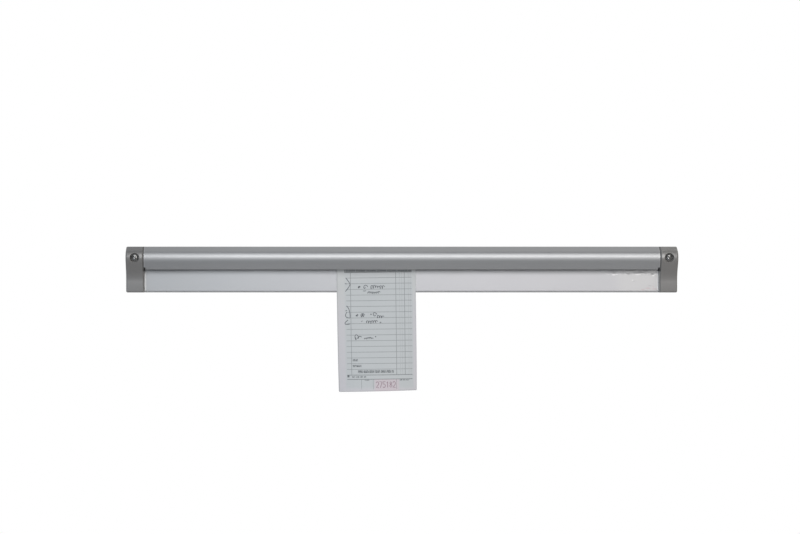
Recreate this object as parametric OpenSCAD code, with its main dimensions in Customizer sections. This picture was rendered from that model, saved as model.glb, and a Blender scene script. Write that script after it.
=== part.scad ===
// Wall-mounted order ticket rail with a hood of loose marbles that grip the tickets.
// X runs along the rail, Y points into the wall, Z is up. The wall's face is y = 0, and the
// origin lies on it, midway between the two wall screws.
// Side outlines are drawn as [depth in front of the wall, height above the screws].

/* [Rail] */
// Length over both end caps
rail_len = 610; // [300:1:900]
// Height of the rail
rail_h = 50.8; // [46:0.1:70]
// Thickness of the back plate
plate_t = 1.6; // [1.2:0.1:2]
// Chamfer along the plate's lower front edge
plate_chamfer = 1.2; // [0.2:0.1:1.2]
// Wall of the hood
hood_wall = 1.5; // [1.2:0.1:1.8]
// Outer radius of the hood's nose
nose_r = 8; // [7.8:0.1:8.6]
// Depth of the nose's centre in front of the wall
nose_depth = 9.7; // [9.4:0.1:10.6]
// Radius of the hood's front below its nose
belly_r = 12.8; // [10:0.1:14]
// Drop from the rail's top to the nose's centre
nose_drop = 12; // [11.5:0.1:14]
// Slope of the hood's top, from level
top_slope = 30; // [25:1:35]
// Lean of the hood's lower wall, from upright
lower_lean = 30; // [26:1:33]
// Drop from the rail's top to the lowest point of the lip
lip_drop = 25.6; // [24:0.1:28]
// Radius of the bead along the lip
lip_bead_r = 0.95; // [0.92:0.01:1.1]

/* [End caps] */
// Length of each cap along the rail
cap_len = 20; // [18:0.5:26]
// How far a cap's nose stands proud of the hood
cap_proud = 1.2; // [0.6:0.1:2]
// Depth of a cap's straight lower part
cap_foot_depth = 9.5; // [7:0.1:11]
// Radius of a cap's lower front edge
cap_foot_r = 2; // [0.5:0.1:3]
// Radius of the hollow blend between a cap's slope and its lower part
cap_blend_r = 24; // [15:1:30]
// Wall of the caps
cap_wall = 2; // [1.5:0.1:2.2]
// Rib across a cap's hollow
cap_rib_t = 1.6; // [1.2:0.1:2]
// Drop from the screws to the rib's middle
cap_rib_drop = 26; // [22:0.5:30]
// Length of the plug that goes into the hood
plug_len = 8; // [5:0.5:12]
// Clearance of the plug inside the hood
plug_clear = 0.2; // [0.1:0.05:0.3]
// Wall of the hollow plug
plug_wall = 1.6; // [1.2:0.1:2]

/* [Wall screws] */
// Drop from the rail's top to the screws
screw_drop = 12.3; // [11.5:0.1:13]
// Distance of each screw from the outer end of its cap
screw_from_end = 10; // [9:0.1:11]
// Length of a screw under its head
screw_len = 32; // [28:1:45]
// Radius over the screw's thread
thread_r = 2.1; // [1.9:0.05:2.3]
// Radius of the screw's shank, and of its core between the threads
shank_r = 1.5; // [1.3:0.05:1.6]
// Clearance round the thread in the cap
thread_clear = 0.25; // [0.1:0.05:0.4]
// Radius of the screw's head
head_r = 3.7; // [3.4:0.1:3.9]
// Height of the screw's head
head_h = 2.6; // [2.2:0.1:2.8]
// Radius of the dome on the head
head_dome_r = 6.2; // [5.5:0.1:8]
// Width of the recess's slots
recess_w = 1.1; // [0.8:0.1:1.3]
// Length of the recess's slots
recess_len = 4.4; // [3.6:0.1:4.8]
// Depth of the recess
recess_depth = 1.7; // [1.2:0.1:1.8]
// Pitch of the thread
thread_pitch = 1.6; // [1.4:0.1:2]
// Run of each of a thread's two flanks along the screw
thread_flank = 0.35; // [0.25:0.05:0.4]
// Width of a thread's crest
thread_crest = 0.15; // [0.1:0.05:0.2]
// Length of the pointed tip
tip_len = 4; // [3:0.5:5]
// Clearance round the head at the foot of its counterbore
counterbore_clear = 0.5; // [0.3:0.05:0.8]
// How much a counterbore's radius grows from its foot to the cap's nose
counterbore_flare = 1; // [0.4:0.1:1.2]
// Depth of the head's seat below the cap's nose
seat_depth = 4.6; // [4:0.1:5.5]
// Wall round the counterbore and the screw's hole
boss_wall = 1.7; // [1.4:0.1:2]
// Floor under the screw's head
seat_floor = 2.4; // [1.8:0.1:3]

/* [Marbles] */
// Diameter of a marble
marble_d = 12.7; // [12.4:0.05:12.7]
// Number of marbles in the hood
marble_count = 24; // [8:1:24]
// Gap left between a marble and what it leans on
marble_clear = 0.15; // [0.1:0.05:0.2]

/* [Order ticket] */
// Width of the ticket
ticket_w = 87.7; // [70:0.1:110]
// Length of the ticket
ticket_len = 155.4; // [120:0.1:200]
// Thickness of the ticket
ticket_t = 0.3; // [0.2:0.05:0.4]
// Gap between the ticket and the plate
ticket_clear = 0.15; // [0.1:0.05:0.2]
// Middle of the ticket, along the rail
ticket_x = -28.7; // [-120:0.1:120]
// Drop from the rail's top to the ticket's top edge
ticket_drop = 4.8; // [4:0.1:9]
// Turn of the hanging ticket, seen from the front
ticket_turn = 0.9; // [0:0.1:1.5]

/* [Hidden] */
$fn = 96;
far = 60;
arc_step = 5;

// Heights
top_z = screw_drop;
bottom_z = top_z - rail_h;
lip_z = top_z - lip_drop;

// The hood's two flat walls, by the directions that they face
nose = [nose_depth, top_z - nose_drop];
top_faces = 90 - top_slope;
lower_faces = -lower_lean;
channel_r = nose_r - hood_wall;

// Below the nose the front goes on as a wider arc, and the lower wall touches that arc
belly_more = belly_r - nose_r;
belly = nose - [belly_more, 0];

// Places along the rail
cap_face_x = rail_len / 2 - cap_len;
screw_x = rail_len / 2 - screw_from_end;
channel_len = 2 * (cap_face_x - plug_len);

// The screw's seat, as a depth in front of the wall
cap_r = nose_r + cap_proud;
seat = nose_depth + cap_r - seat_depth;
counterbore_r = head_r + counterbore_clear;
hole_r = thread_r + thread_clear;
thread_w = 2 * thread_flank + thread_crest;

// Where a marble's centre lies when it leans on the slope and on what is behind it
marble_r = marble_d / 2;
marble_pitch = channel_len / marble_count;
marble_off = channel_r + belly_more - marble_r - marble_clear;
ticket_front = plate_t + ticket_clear + ticket_t;

function polar(r, angle) = [r * cos(angle), r * sin(angle)];
function arc(centre, r, from, to) =
    let (steps = ceil(abs(to - from) / arc_step))
    [for (k = [0:steps]) centre + polar(r, from + (to - from) * k / steps)];

function reversed(points) = [for (k = [len(points) - 1:-1:0]) points[k]];

// The rounded front at distance r from the nose's centre, from the hood's top down to its lower wall
function front(r) = concat(
    arc(nose, r, top_faces, 0),
    arc(belly, r + belly_more, -arc_step, lower_faces)
);

// Points on the two straight walls that meet that front
function top_wall(r, z) =
    [nose.x + (r - (z - nose.y) * sin(top_faces)) / cos(top_faces), z];
function lower_wall(r, z) =
    [belly.x + (r + belly_more - (z - belly.y) * sin(lower_faces)) / cos(lower_faces), z];
function lower_wall_at_depth(r, d) =
    [d, belly.y + (r + belly_more - (d - belly.x) * cos(lower_faces)) / sin(lower_faces)];

function marble_x(i) = (i - (marble_count + 1) / 2) * marble_pitch;
function marble_name(i) = str("marble_", i < 10 ? "0" : "", i);
function behind_marble(i) =
    abs(marble_x(i) - ticket_x) < ticket_w / 2 + marble_r / 2 ? ticket_front : plate_t;
function marble_drop(i) =
    (belly.x + marble_off * cos(lower_lean) - behind_marble(i) - marble_clear - marble_r) / sin(lower_lean);
function marble_centre(i) =
    belly + marble_off * polar(1, lower_faces) - marble_drop(i) * polar(1, lower_faces + 90);

// Stands a side outline up as a bar along X, from one place to another
module bar(from, to) {
    translate([to, 0, 0])
        rotate([90, 0, -90])
            linear_extrude(to - from)
                children();
}

// A round along Y, from one depth in front of the wall to a greater one
module round_out(r, from, to) {
    translate([0, -from, 0])
        rotate([90, 0, 0])
            cylinder(r = r, h = to - from);
}

// The whole extrusion's side outline: back plate, hood and the bead along its lip
module rail_outline() {
    bead_z = lip_z + lip_bead_r;
    polygon(concat(
        [
            [0, bottom_z],
            [plate_t - plate_chamfer, bottom_z],
            [plate_t, bottom_z + plate_chamfer],
            [plate_t, top_z - hood_wall],
            top_wall(channel_r, top_z - hood_wall)
        ],
        front(channel_r),
        [lower_wall(channel_r, bead_z), lower_wall(nose_r, bead_z)],
        reversed(front(nose_r)),
        [top_wall(nose_r, top_z), [0, top_z]]
    ));
    translate(lower_wall((channel_r + nose_r) / 2, bead_z))
        circle(lip_bead_r);
}

module rail_extrusion() {
    color("silver")
        bar(-cap_face_x, cap_face_x)
            rail_outline();
}

// Side outline of a cap, drawn in by an inset everywhere but at its back
module cap_outline(inset, back) {
    r = cap_r - inset;
    foot = [cap_foot_depth - inset, bottom_z + inset];
    foot_r = cap_foot_r - inset;
    blend_r = cap_blend_r + inset;
    corner = lower_wall_at_depth(r, foot.x);
    blend_centre = [foot.x + blend_r, corner.y - blend_r * tan(lower_lean / 2)];
    polygon(concat(
        [[back, foot.y]],
        foot_r > 0 ? arc(foot + [-foot_r, foot_r], foot_r, 270, 360) : [foot],
        arc(blend_centre, blend_r, 180, 180 - lower_lean),
        reversed(front(r)),
        [top_wall(r, top_z - inset), [back, top_z - inset]]
    ));
}

// Side outline of the hood's channel, drawn in by an inset and cut off level above the lip
module channel_outline(inset) {
    r = channel_r - inset;
    low = lip_z + 2 * lip_bead_r + inset;
    high = top_z - hood_wall - inset;
    intersection() {
        polygon(concat(
            [lower_wall(r, -far)],
            reversed(front(r)),
            [top_wall(r, far)]
        ));
        translate([plate_t + inset, low])
            square([far, high - low]);
    }
}

// The hollow of the left cap, less the boss round the screw and the rib
module cap_hollow() {
    difference() {
        bar(-rail_len / 2 + cap_wall, -cap_face_x - cap_wall)
            cap_outline(cap_wall, -1);
        translate([-screw_x, 0, 0]) {
            round_out(hole_r + boss_wall, -2, seat);
            round_out(counterbore_r + counterbore_flare + boss_wall, seat - seat_floor, far);
        }
        translate([-rail_len / 2, -far, -cap_rib_drop - cap_rib_t / 2])
            cube([cap_len, far + 2, cap_rib_t]);
    }
    bar(-cap_face_x - cap_wall - 1, -cap_face_x + plug_len - plug_wall)
        channel_outline(plug_clear + plug_wall);
}

module left_cap() {
    difference() {
        union() {
            bar(-rail_len / 2, -cap_face_x)
                cap_outline(0, 0);
            bar(-cap_face_x - 1, -cap_face_x + plug_len)
                channel_outline(plug_clear);
        }
        cap_hollow();
        translate([-screw_x, 0, 0]) {
            round_out(hole_r, -1, seat + 1);
            translate([0, -seat, 0])
                rotate([90, 0, 0])
                    cylinder(r1 = counterbore_r, r2 = counterbore_r + 2 * counterbore_flare, h = 2 * seat_depth);
        }
    }
}

module end_cap_left() {
    color("dimgray")
        left_cap();
}

module end_cap_right() {
    color("dimgray")
        mirror([1, 0, 0])
            left_cap();
}

// Half outline of the shank, as [radius, distance behind the seat]; its threads start at the wall's face
module shank_outline() {
    threads = floor((screw_len - seat - tip_len - thread_w) / thread_pitch);
    polygon(concat(
        [[0, 0], [shank_r, 0]],
        [for (k = [0:threads], corner = [
            [shank_r, 0],
            [thread_r, thread_flank],
            [thread_r, thread_flank + thread_crest],
            [shank_r, thread_w]
        ])
            corner + [0, seat + k * thread_pitch]],
        [[shank_r, screw_len - tip_len], [0, screw_len]]
    ));
}

// A wall screw with its seat at the origin, pointing into the wall
module wall_screw() {
    difference() {
        union() {
            rotate([-90, 0, 0])
                rotate_extrude()
                    shank_outline();
            intersection() {
                round_out(head_r, 0, head_h);
                translate([0, head_dome_r - head_h, 0])
                    sphere(head_dome_r);
            }
        }
        for (turn = [0, 90])
            rotate([0, turn, 0])
                translate([-recess_len / 2, -head_h - 1, -recess_w / 2])
                    cube([recess_len, recess_depth + 1, recess_w]);
    }
}

module wall_screw_left() {
    color("gainsboro")
        translate([-screw_x, -seat, 0])
            rotate([0, 20, 0])
                wall_screw();
}

module wall_screw_right() {
    color("gainsboro")
        translate([screw_x, -seat, 0])
            rotate([0, -35, 0])
                wall_screw();
}

module order_ticket() {
    color("lightsteelblue")
        translate([ticket_x, -ticket_front, top_z - ticket_drop])
            rotate([0, -ticket_turn, 0])
                translate([-ticket_w / 2, 0, -ticket_len])
                    cube([ticket_w, ticket_t, ticket_len]);
}

module marble(i) {
    centre = marble_centre(i);
    color("mediumseagreen")
        translate([marble_x(i), -centre.x, centre.y])
            sphere(marble_r);
}

rail_extrusion();
end_cap_left();
end_cap_right();
wall_screw_left();
wall_screw_right();
order_ticket();
for (i = [1:marble_count])
    marble(i);
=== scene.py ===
import math
import random

import bmesh
import bpy
from mathutils import Matrix, Vector

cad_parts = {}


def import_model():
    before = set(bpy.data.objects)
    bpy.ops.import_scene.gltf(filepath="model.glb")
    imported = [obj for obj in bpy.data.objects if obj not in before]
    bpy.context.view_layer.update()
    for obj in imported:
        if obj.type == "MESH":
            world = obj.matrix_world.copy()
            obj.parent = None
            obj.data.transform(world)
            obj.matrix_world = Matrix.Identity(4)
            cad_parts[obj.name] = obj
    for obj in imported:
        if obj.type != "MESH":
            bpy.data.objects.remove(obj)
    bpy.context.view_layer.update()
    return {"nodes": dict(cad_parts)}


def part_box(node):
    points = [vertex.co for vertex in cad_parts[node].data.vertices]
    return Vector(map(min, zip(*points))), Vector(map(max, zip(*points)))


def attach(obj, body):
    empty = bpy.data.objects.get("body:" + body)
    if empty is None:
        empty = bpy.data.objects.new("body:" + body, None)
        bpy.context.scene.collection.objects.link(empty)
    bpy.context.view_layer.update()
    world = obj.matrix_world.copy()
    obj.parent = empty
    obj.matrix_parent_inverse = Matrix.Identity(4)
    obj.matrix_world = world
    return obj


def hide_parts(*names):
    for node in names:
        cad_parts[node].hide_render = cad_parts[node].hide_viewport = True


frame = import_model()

# A wall-mounted order ticket rail: a hooded aluminium extrusion with a cap and a screw at each end, loose
# marbles in its channel, and a ticket that they hold.

# Shapes are in millimetres. Heights count from the screws and depths from the wall's face, and a side
# outline's points are (depth, height). The camera, the lights and the floor are in metres.
MM = 0.001
# Points of a mesh that are closer than this, in metres, are made one
WELD = 1e-7

# The rail
RAIL_LENGTH = 610
RAIL_HEIGHT = 50.8
TOP = 12.3
BOTTOM = TOP - RAIL_HEIGHT
LIP = TOP - 25.6
PLATE = 1.6
PLATE_CHAMFER = 1.2
HOOD_WALL = 1.5
BEAD = 0.95
BEAD_STEPS = 18
END_GAP = 0.02
LIP_NOTCH = 1.7
LIP_NOTCH_HEIGHT = 2.5
EDGE_ROUND = 0.25

# The hood's front is a round above the nose and a wider one below it, drawn in steps of a few degrees. The
# flat walls above and below them face these angles, in degrees up from straight ahead.
NOSE_RADIUS = 8
BELLY_RADIUS = 12.8
NOSE = Vector((9.7, TOP - 12))
BELLY_MORE = BELLY_RADIUS - NOSE_RADIUS
BELLY = NOSE - Vector((BELLY_MORE, 0))
NOSE_STEP = 3
BELLY_STEP = 2
TOP_FACES = 60
LOWER_FACES = -30

# The caps, each with a plug that goes into the hood
CAP_LENGTH = 20
CAP_NOSE_RADIUS = NOSE_RADIUS + 1.2
CAP_FOOT = 9.5
CAP_FOOT_ROUND = 2
CAP_FOOT_STEPS = 6
LEAST_ROUND = 0.05
CAP_BLEND = 24
CAP_BLEND_STEPS = 10
CAP_WALL = 2
CAP_OUTER_ROUND = 1.7
CAP_ROUND_STEPS = 8
CAP_ROUND_HOLD = 0.4
CAP_CHAMFER = 1.5
CAP_RIB = 1.6
CAP_RIB_DROP = 26
PLUG_LENGTH = 8
PLUG_CLEARANCE = 0.2
PLUG_WALL = 1.6
CAP_FACE = RAIL_LENGTH / 2 - CAP_LENGTH
# Rings near a cap's inner end: distance from it, share of the front's chamfer, inset of the top and foot
CAP_INNER_RINGS = ((2, 0, 0), (1.6, 0, 0), (1.45, 0.03, 0), (1.3, 0.14, 0), (0.12, 1, 0), (0, 1, 0.12))

# The screws and their recesses in the caps. Thread, shank, head, hole, counterbore and point are radii. The
# ridge's half width is a share of the pitch, and the tip's end a share of the shank.
SCREW_X = RAIL_LENGTH / 2 - 10
SEAT_DEPTH = 4.6
SEAT = NOSE.x + CAP_NOSE_RADIUS - SEAT_DEPTH
SCREW_LENGTH = 32
SCREW_SIDES = 40
SCREW_STEPS = 150
THREAD = 2.1
THREAD_PITCH = 1.6
RIDGE_SHARE = 0.3
SHANK = 1.5
SHANK_FROM = 0.6
TIP_LENGTH = 4
TIP_SHARE = 0.02
POINT = 0.01
HEAD = 3.7
HEAD_HEIGHT = 2.6
HEAD_DOME = 6.2
HEAD_STEPS = 8
HEAD_ROUND = 0.35
HEAD_FOOT = 0.15
NECK = 0.3
HOLE = THREAD + 0.25
COUNTERBORE = HEAD + 0.5
FLARE = 1.0
RIM_ROUND = 0.3
RIM_STEPS = 5
RIM_SIDES = 96
RIM_LIFT = 0.004
BOSS_WALL = 1.7
SEAT_FLOOR = 2.4
RECESS_HALF = 2.2
# Layers of a cross recess: share of its half length, half width, and depth under the head's top
RECESS_LAYERS = ((1.2, 0.72, -0.6), (1.05, 0.66, 0.3), (0.45, 0.42, 1.7))

# How far a tool passes a face that it cuts, and depths behind and in front of a whole cap
THROUGH = 1
BEHIND = -2
BEYOND = 40

# The ticket, flat where the rail holds it and bowed out below
TICKET_WIDTH = 87.7
TICKET_LENGTH = 155.4
TICKET_X = -28.7
TICKET_TOP = TOP - 4.8
TICKET_TURN = 0.9
TICKET_DEPTH = 1.9
TICKET_THICKNESS = 0.25
TICKET_HELD = 30
TICKET_BOW = 6.5
TICKET_RIPPLE = 0.35
RIPPLE_LENGTH = 23.0
RIPPLE_SLANT = 1.3
TICKET_CORNER = 1.3
TICKET_CORNER_STEPS = 5
TICKET_SKEW = 0.35
TICKET_COLUMNS = 26
TICKET_ROWS = 48
# A place beside the print, for the sides of the sheet that have none
BLANK_U = -0.05
BLANK_V = 0.5
BLANK_SIZE = 0.05
INK_LIFT = 0.03
INK_THICKNESS = 0.04

# The marbles: their diameter and their nodes' names
MARBLE = 12.7
MARBLES = [name for name in frame["nodes"] if name.startswith("marble_")]


def polar(r, angle):
    return Vector((r * math.cos(math.radians(angle)), r * math.sin(math.radians(angle))))


def arc(centre, r, start, end, steps):
    """Points along an arc, whose angles are in degrees up from straight ahead."""
    return [centre + polar(r, start + (end - start) * k / steps) for k in range(steps + 1)]


def front(r):
    """The rounded front at distance r from the nose's centre, from the hood's top to its lower wall."""
    upper = arc(NOSE, r, TOP_FACES, 0, TOP_FACES // NOSE_STEP)
    lower = arc(BELLY, r + BELLY_MORE, -BELLY_STEP, LOWER_FACES, -LOWER_FACES // BELLY_STEP - 1)
    return upper + lower


def top_wall(r, z):
    """The point at the height z on the flat wall above the round of radius r."""
    turn = math.radians(TOP_FACES)
    return Vector((NOSE.x + (r - (z - NOSE.y) * math.sin(turn)) / math.cos(turn), z))


def top_wall_at_depth(r, depth):
    turn = math.radians(TOP_FACES)
    return Vector((depth, NOSE.y + (r - (depth - NOSE.x) * math.cos(turn)) / math.sin(turn)))


def lower_wall(r, z):
    """The point at the height z on the flat wall below the round of radius r."""
    turn = math.radians(LOWER_FACES)
    return Vector((BELLY.x + (r + BELLY_MORE - (z - BELLY.y) * math.sin(turn)) / math.cos(turn), z))


def lower_wall_at_depth(r, depth):
    turn = math.radians(LOWER_FACES)
    return Vector((depth, BELLY.y + (r + BELLY_MORE - (depth - BELLY.x) * math.cos(turn)) / math.sin(turn)))


def stand(x, point):
    """A side outline's point, stood up at a place along the rail."""
    return Vector((x, -point.x, point.y))


def piece(name, mesh):
    """An object made of a finished mesh under construction."""
    data = bpy.data.meshes.new(name)
    mesh.to_mesh(data)
    mesh.free()
    made = bpy.data.objects.new(name, data)
    bpy.context.scene.collection.objects.link(made)
    return made


def lofted(name, rings):
    """A mesh through rings of points in millimetres, with a face over each end."""
    mesh = bmesh.new()
    loops = [[mesh.verts.new(point * MM) for point in ring] for ring in rings]
    for near, far in zip(loops, loops[1:]):
        for k in range(len(near)):
            n = (k + 1) % len(near)
            mesh.faces.new((near[k], near[n], far[n], far[k]))
    mesh.faces.new(loops[0])
    mesh.faces.new(loops[-1])
    bmesh.ops.remove_doubles(mesh, verts=mesh.verts, dist=WELD)
    bmesh.ops.recalc_face_normals(mesh, faces=mesh.faces)
    return piece(name, mesh)


def bar(outline, start, end):
    """A tool with a side outline, between two places along the rail."""
    return lofted("tool", [[stand(x, point) for point in outline] for x in (start, end)])


def turned(x, profile, sides=64):
    """A round tool on a screw's axis, from pairs of a radius and a depth, which may depend on the angle."""
    rings = []
    for radius, depth in profile:
        ring = []
        for k in range(sides):
            angle = 2 * math.pi * k / sides
            d = depth(angle) if callable(depth) else depth
            ring.append(Vector((x + radius * math.cos(angle), -d, radius * math.sin(angle))))
        rings.append(ring)
    return lofted("tool", rings)


def settled(made):
    """The object with its modifiers turned into a plain mesh."""
    graph = bpy.context.evaluated_depsgraph_get()
    data = bpy.data.meshes.new_from_object(made.evaluated_get(graph))
    data.name = made.name
    made.modifiers.clear()
    made.data = data
    return made


def carved(made, tools, operation="DIFFERENCE"):
    """The object with tools cut out of it or joined to it. The tools are used up."""
    for tool in tools:
        cut = made.modifiers.new("cut", "BOOLEAN")
        cut.operation = operation
        cut.solver = "EXACT"
        cut.object = tool
    settled(made)
    for tool in tools:
        bpy.data.objects.remove(tool)
    return made


def smoothed(made, angle):
    """The object in smooth shading, with its edges of more than an angle kept sharp."""
    for face in made.data.polygons:
        face.use_smooth = True
    made.data.set_sharp_from_angle(angle=math.radians(angle))
    return made


def dress(made, finish, body, slot, *nodes):
    """Gives a finished piece its material, its body and the CAD nodes that it stands for, whose parts it
    hides. Its slot is not used.
    """
    made.data.materials.clear()
    made.data.materials.append(finish)
    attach(made, body)
    if nodes:
        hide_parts(*nodes)


class Socket:
    """One output of a shader node. Arithmetic on it adds Math nodes."""

    def __init__(self, finish, output):
        self.finish = finish
        self.output = output

    def maths(self, operation, *values):
        return self.finish.node("Math", {"operation": operation}, dict(enumerate(values)))

    def __add__(self, other):
        return self.maths("ADD", self, other)

    def __radd__(self, other):
        return self.maths("ADD", other, self)

    def __sub__(self, other):
        return self.maths("SUBTRACT", self, other)

    def __rsub__(self, other):
        return self.maths("SUBTRACT", other, self)

    def __mul__(self, other):
        return self.maths("MULTIPLY", self, other)

    def __rmul__(self, other):
        return self.maths("MULTIPLY", other, self)

    def __truediv__(self, other):
        return self.maths("DIVIDE", self, other)

    def __mod__(self, other):
        return self.maths("FLOORED_MODULO", self, other)

    def __neg__(self):
        return self.maths("SUBTRACT", 0, self)

    def __lt__(self, other):
        return self.maths("LESS_THAN", self, other)

    def __gt__(self, other):
        return self.maths("GREATER_THAN", self, other)

    def __abs__(self):
        return self.maths("ABSOLUTE", self)

    def __or__(self, other):
        """The greater of two masks."""
        return self.maths("MAXIMUM", self, other)

    def root(self):
        return self.maths("SQRT", self)

    def within(self, low, high):
        return (self > low) * (self < high)


class Finish:
    """A node tree under construction, for a material or the world."""

    def __init__(self, owner):
        owner.use_nodes = True
        self.owner = owner
        self.tree = owner.node_tree
        self.tree.nodes.clear()

    def node(self, kind, settings=None, inputs=None, output=0):
        """A node's output, from its kind, its settings and the values or links of its inputs."""
        made = self.tree.nodes.new("ShaderNode" + kind)
        for name, value in (settings or {}).items():
            setattr(made, name, value)
        for name, value in (inputs or {}).items():
            if isinstance(value, Socket):
                self.tree.links.new(value.output, made.inputs[name])
            else:
                made.inputs[name].default_value = value
        return Socket(self, made.outputs[output]) if len(made.outputs) else None

    def mix(self, factor, a, b):
        """A colour between two colours."""
        return self.node("Mix", {"data_type": "RGBA"}, {0: factor, 6: a, 7: b}, output=2)

    def painted(self, tone, *coats):
        """A colour with coats over it, each a mask and a colour."""
        for mask, coat in coats:
            tone = self.mix(mask, tone, coat)
        return tone

    def noise(self, vector, scale, detail):
        return self.node("TexNoise", None, {"Vector": vector, "Scale": scale, "Detail": detail})

    def place(self, scale=(1, 1, 1)):
        """Object coordinates in metres, stretched by a scale."""
        spot = self.node("TexCoord", output="Object")
        return self.node("Mapping", None, {"Vector": spot, "Scale": scale})

    def axes(self, vector):
        return [self.node("SeparateXYZ", None, {"Vector": vector}, output=axis) for axis in "XYZ"]

    def smooth(self, value, low, high):
        """0 below low, 1 above high and a soft step between."""
        settings = {"interpolation_type": "SMOOTHSTEP"}
        return self.node("MapRange", settings, {"Value": value, "From Min": low, "From Max": high})

    def spot(self, across, up, x, z, half_width, half_height):
        """A soft oval mark round a point."""
        a = (across - x) / half_width
        b = (up - z) / half_height
        return 1 - self.smooth(a * a + b * b, 0.05, 1.0)

    def spots(self, across, up, marks):
        """A soft oval mark at each of several places."""
        return any_of([self.spot(across, up, *mark) for mark in marks])

    def bump(self, height, strength, distance):
        return self.node("Bump", None, {"Height": height, "Strength": strength, "Distance": distance})

    def surface(self, **sockets):
        inputs = {name.replace("_", " "): value for name, value in sockets.items()}
        shader = self.node("BsdfPrincipled", None, inputs)
        self.node("OutputMaterial", None, {"Surface": shader})
        return self.owner


def any_of(masks):
    """The greatest of several masks."""
    total = masks[0]
    for mask in masks[1:]:
        total = total | mask
    return total


def material(name):
    return Finish(bpy.data.materials.new(name))


def colour(r, g, b):
    return (r, g, b, 1.0)


def grey(value):
    return (value, value, value, 1.0)


# Depths between which the plate is painted, so that the metal's back stays plain
BACK = 0.2
PLATE_REACH = PLATE + 0.5
# Where along the rail the painted shade at its left end fades, and where the plate's painted falloff of
# light turns from left to right
SHADED_LEFT_END = (-290, -150)
PLATE_LIGHT_FALLOFF = (-330, 120)

# Wear at the plate's right end. Each mark is its place from the rail's middle and from the screws' height,
# then half of its width and half of its height.
WORN_FROM = 222
WORN_FULL = WORN_FROM + 14
WORN_EDGE = -17.6
WORN_EDGE_SWING = 3.4
HAZE = (232, 250)
SCRATCHES = ((257.9, -25.9, 2.2, 0.5), (275.5, -31.0, 2.6, 0.45))
CHIPS = (
    (256.4, -24.9, 1.3, 0.5),
    (235.5, -18.9, 3.0, 0.8),
    (262.0, -18.8, 2.4, 0.6),
    (279.5, -19.8, 1.8, 0.7),
)
RESIDUE = (
    (236.2, -16.8, 2.0, 1.1),
    (251.3, -17.8, 2.6, 1.4),
    (278.3, -18.2, 3.2, 1.2),
    (266.0, -16.2, 7.0, 0.8),
)
RED_STAINS = (
    (273.5, -33.8, 4.2, 0.7),
    (281.0, -34.6, 3.6, 0.6),
    (268.0, -35.4, 3.0, 0.7),
    (279.5, -32.2, 1.6, 0.5),
)


def plate_wear(f, x, z, plate):
    """Masks for the worn end of the plate: all of it, grey residue, chips of bare metal and red stains."""
    speck = f.noise(f.place(), 900, 2)
    ragged = f.noise(f.place((260, 0, 0)), 1.0, 4)
    broken = f.noise(f.place((190, 0, 0)), 1.0, 2)
    edge = WORN_EDGE + WORN_EDGE_SWING * (ragged - 0.5)
    worn = f.smooth(x, WORN_FROM, WORN_FULL) * plate
    residue = worn * f.smooth(z, edge - 0.25, edge + 0.25) * f.smooth(speck, 0.35, 0.65) * 0.6
    residue = residue | (f.spots(x, z, RESIDUE) * plate) | (f.spots(x, z, SCRATCHES) * plate * 0.8)
    chips = worn * f.smooth(z, edge - 1.3, edge - 0.9) * (1 - f.smooth(z, edge - 0.5, edge - 0.2))
    chips = chips * f.smooth(broken, 0.45, 0.6)
    chips = chips | (f.spots(x, z, CHIPS) * plate)
    stain = f.spots(x, z, RED_STAINS) * plate * f.smooth(speck, 0.25, 0.6)
    return worn, residue, chips, stain


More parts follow.
